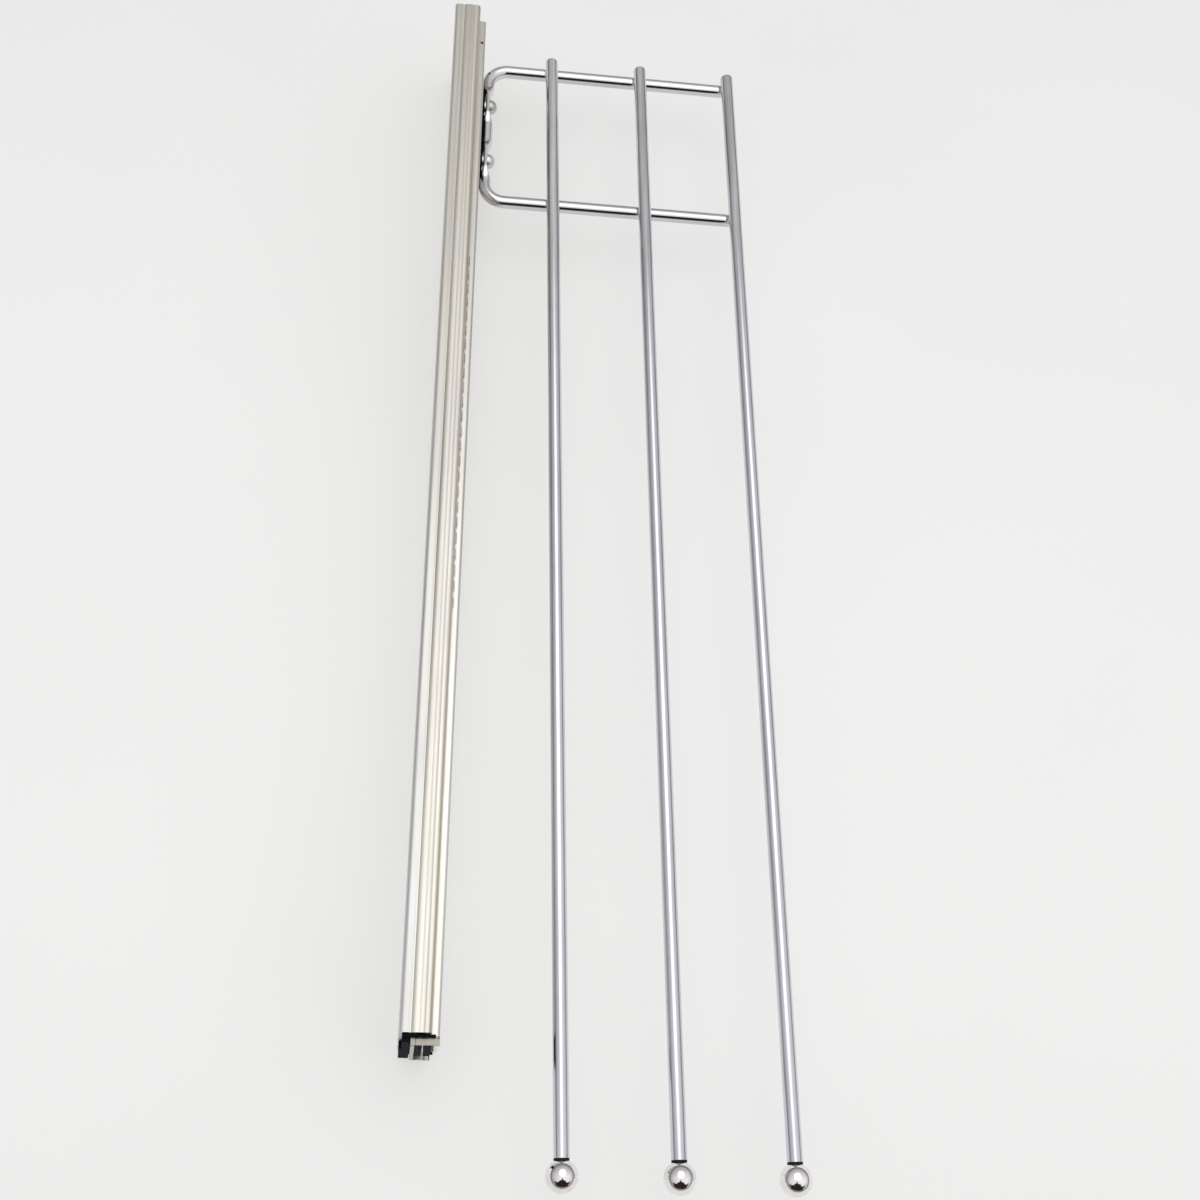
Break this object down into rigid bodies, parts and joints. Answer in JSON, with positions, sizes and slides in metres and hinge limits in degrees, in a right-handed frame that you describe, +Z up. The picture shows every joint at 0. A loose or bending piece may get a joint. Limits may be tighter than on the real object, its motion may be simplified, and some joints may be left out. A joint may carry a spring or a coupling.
{
  "type": "pull-out towel rail",
  "caption": "Side-mounted pull-out towel rail: ball-tipped chrome rods on a wire bracket, riveted to a full-extension ball-bearing telescopic slide.",
  "frame": {"origin": "centre of the mounting holes, on the cabinet member's back face", "axes": "+X from the cabinet wall into the cabinet, -Y the pull-out direction (ball ends at the front), +Z up"},
  "size_m": [0.1293, 0.4442, 0.045],
  "materials": {
    "zinc_cabinet": "zinc plated, satin",
    "zinc_intermediate": "zinc plated, satin",
    "zinc_carriage": "zinc plated, satin",
    "cage_steel": "plain strip, dull",
    "bearing_steel": "polished, oiled",
    "chrome_rod": "bright chrome, satin at the rear",
    "chrome_bracket": "bright chrome",
    "chrome_ball": "mirror",
    "rivet_nickel": "satin nickel",
    "spacer_zinc": "bright zinc",
    "weld_metal": "plated weld",
    "black_plastic": "moulded, matte",
    "black_ring": "matte"
  },
  "bodies": {
    "cabinet_side": {"cabinet_member": "zinc_cabinet", "cage_bumper": "black_plastic", "rear_bumper": "black_plastic"},
    "outer_cage": {"outer_ball_cage": "cage_steel", "outer_upper_balls": "bearing_steel", "outer_lower_balls": "bearing_steel"},
    "intermediate": {"intermediate_member": "zinc_intermediate", "carriage_stop": "black_plastic"},
    "inner_cage": {"inner_ball_cage": "cage_steel", "inner_upper_balls": "bearing_steel", "inner_lower_balls": "bearing_steel"},
    "carriage": {"carriage_member": "zinc_carriage", "rail_bracket": "chrome_bracket", "backing_pad": "black_plastic", "rear_spacer": "spacer_zinc", "front_spacer": "spacer_zinc", "rear_rivet": "rivet_nickel", "front_rivet": "rivet_nickel", "left_rod": "chrome_rod", "centre_rod": "chrome_rod", "right_rod": "chrome_rod", "rear_welds": "weld_metal", "front_welds": "weld_metal", "left_ring": "black_ring", "centre_ring": "black_ring", "right_ring": "black_ring", "left_ball": "chrome_ball", "centre_ball": "chrome_ball", "right_ball": "chrome_ball"}
  },
  "joints": [
    {"name": "outer_slide", "type": "slide", "parent": "cabinet_side", "child": "intermediate", "axis": [0, -1, 0], "range_m": [0, 0.205]},
    {"name": "inner_slide", "type": "slide", "parent": "intermediate", "child": "carriage", "axis": [0, -1, 0], "range_m": [0, 0.2]},
    {"name": "outer_cage_roll", "type": "slide", "parent": "cabinet_side", "child": "outer_cage", "axis": [0, -1, 0], "range_m": [0, 0.1025]},
    {"name": "inner_cage_roll", "type": "slide", "parent": "intermediate", "child": "inner_cage", "axis": [0, -1, 0], "range_m": [0, 0.1]}
  ],
  "couplings": [
    {"joint": "outer_cage_roll", "follows": "outer_slide", "ratio": 0.5},
    {"joint": "inner_cage_roll", "follows": "inner_slide", "ratio": 0.5}
  ]
}
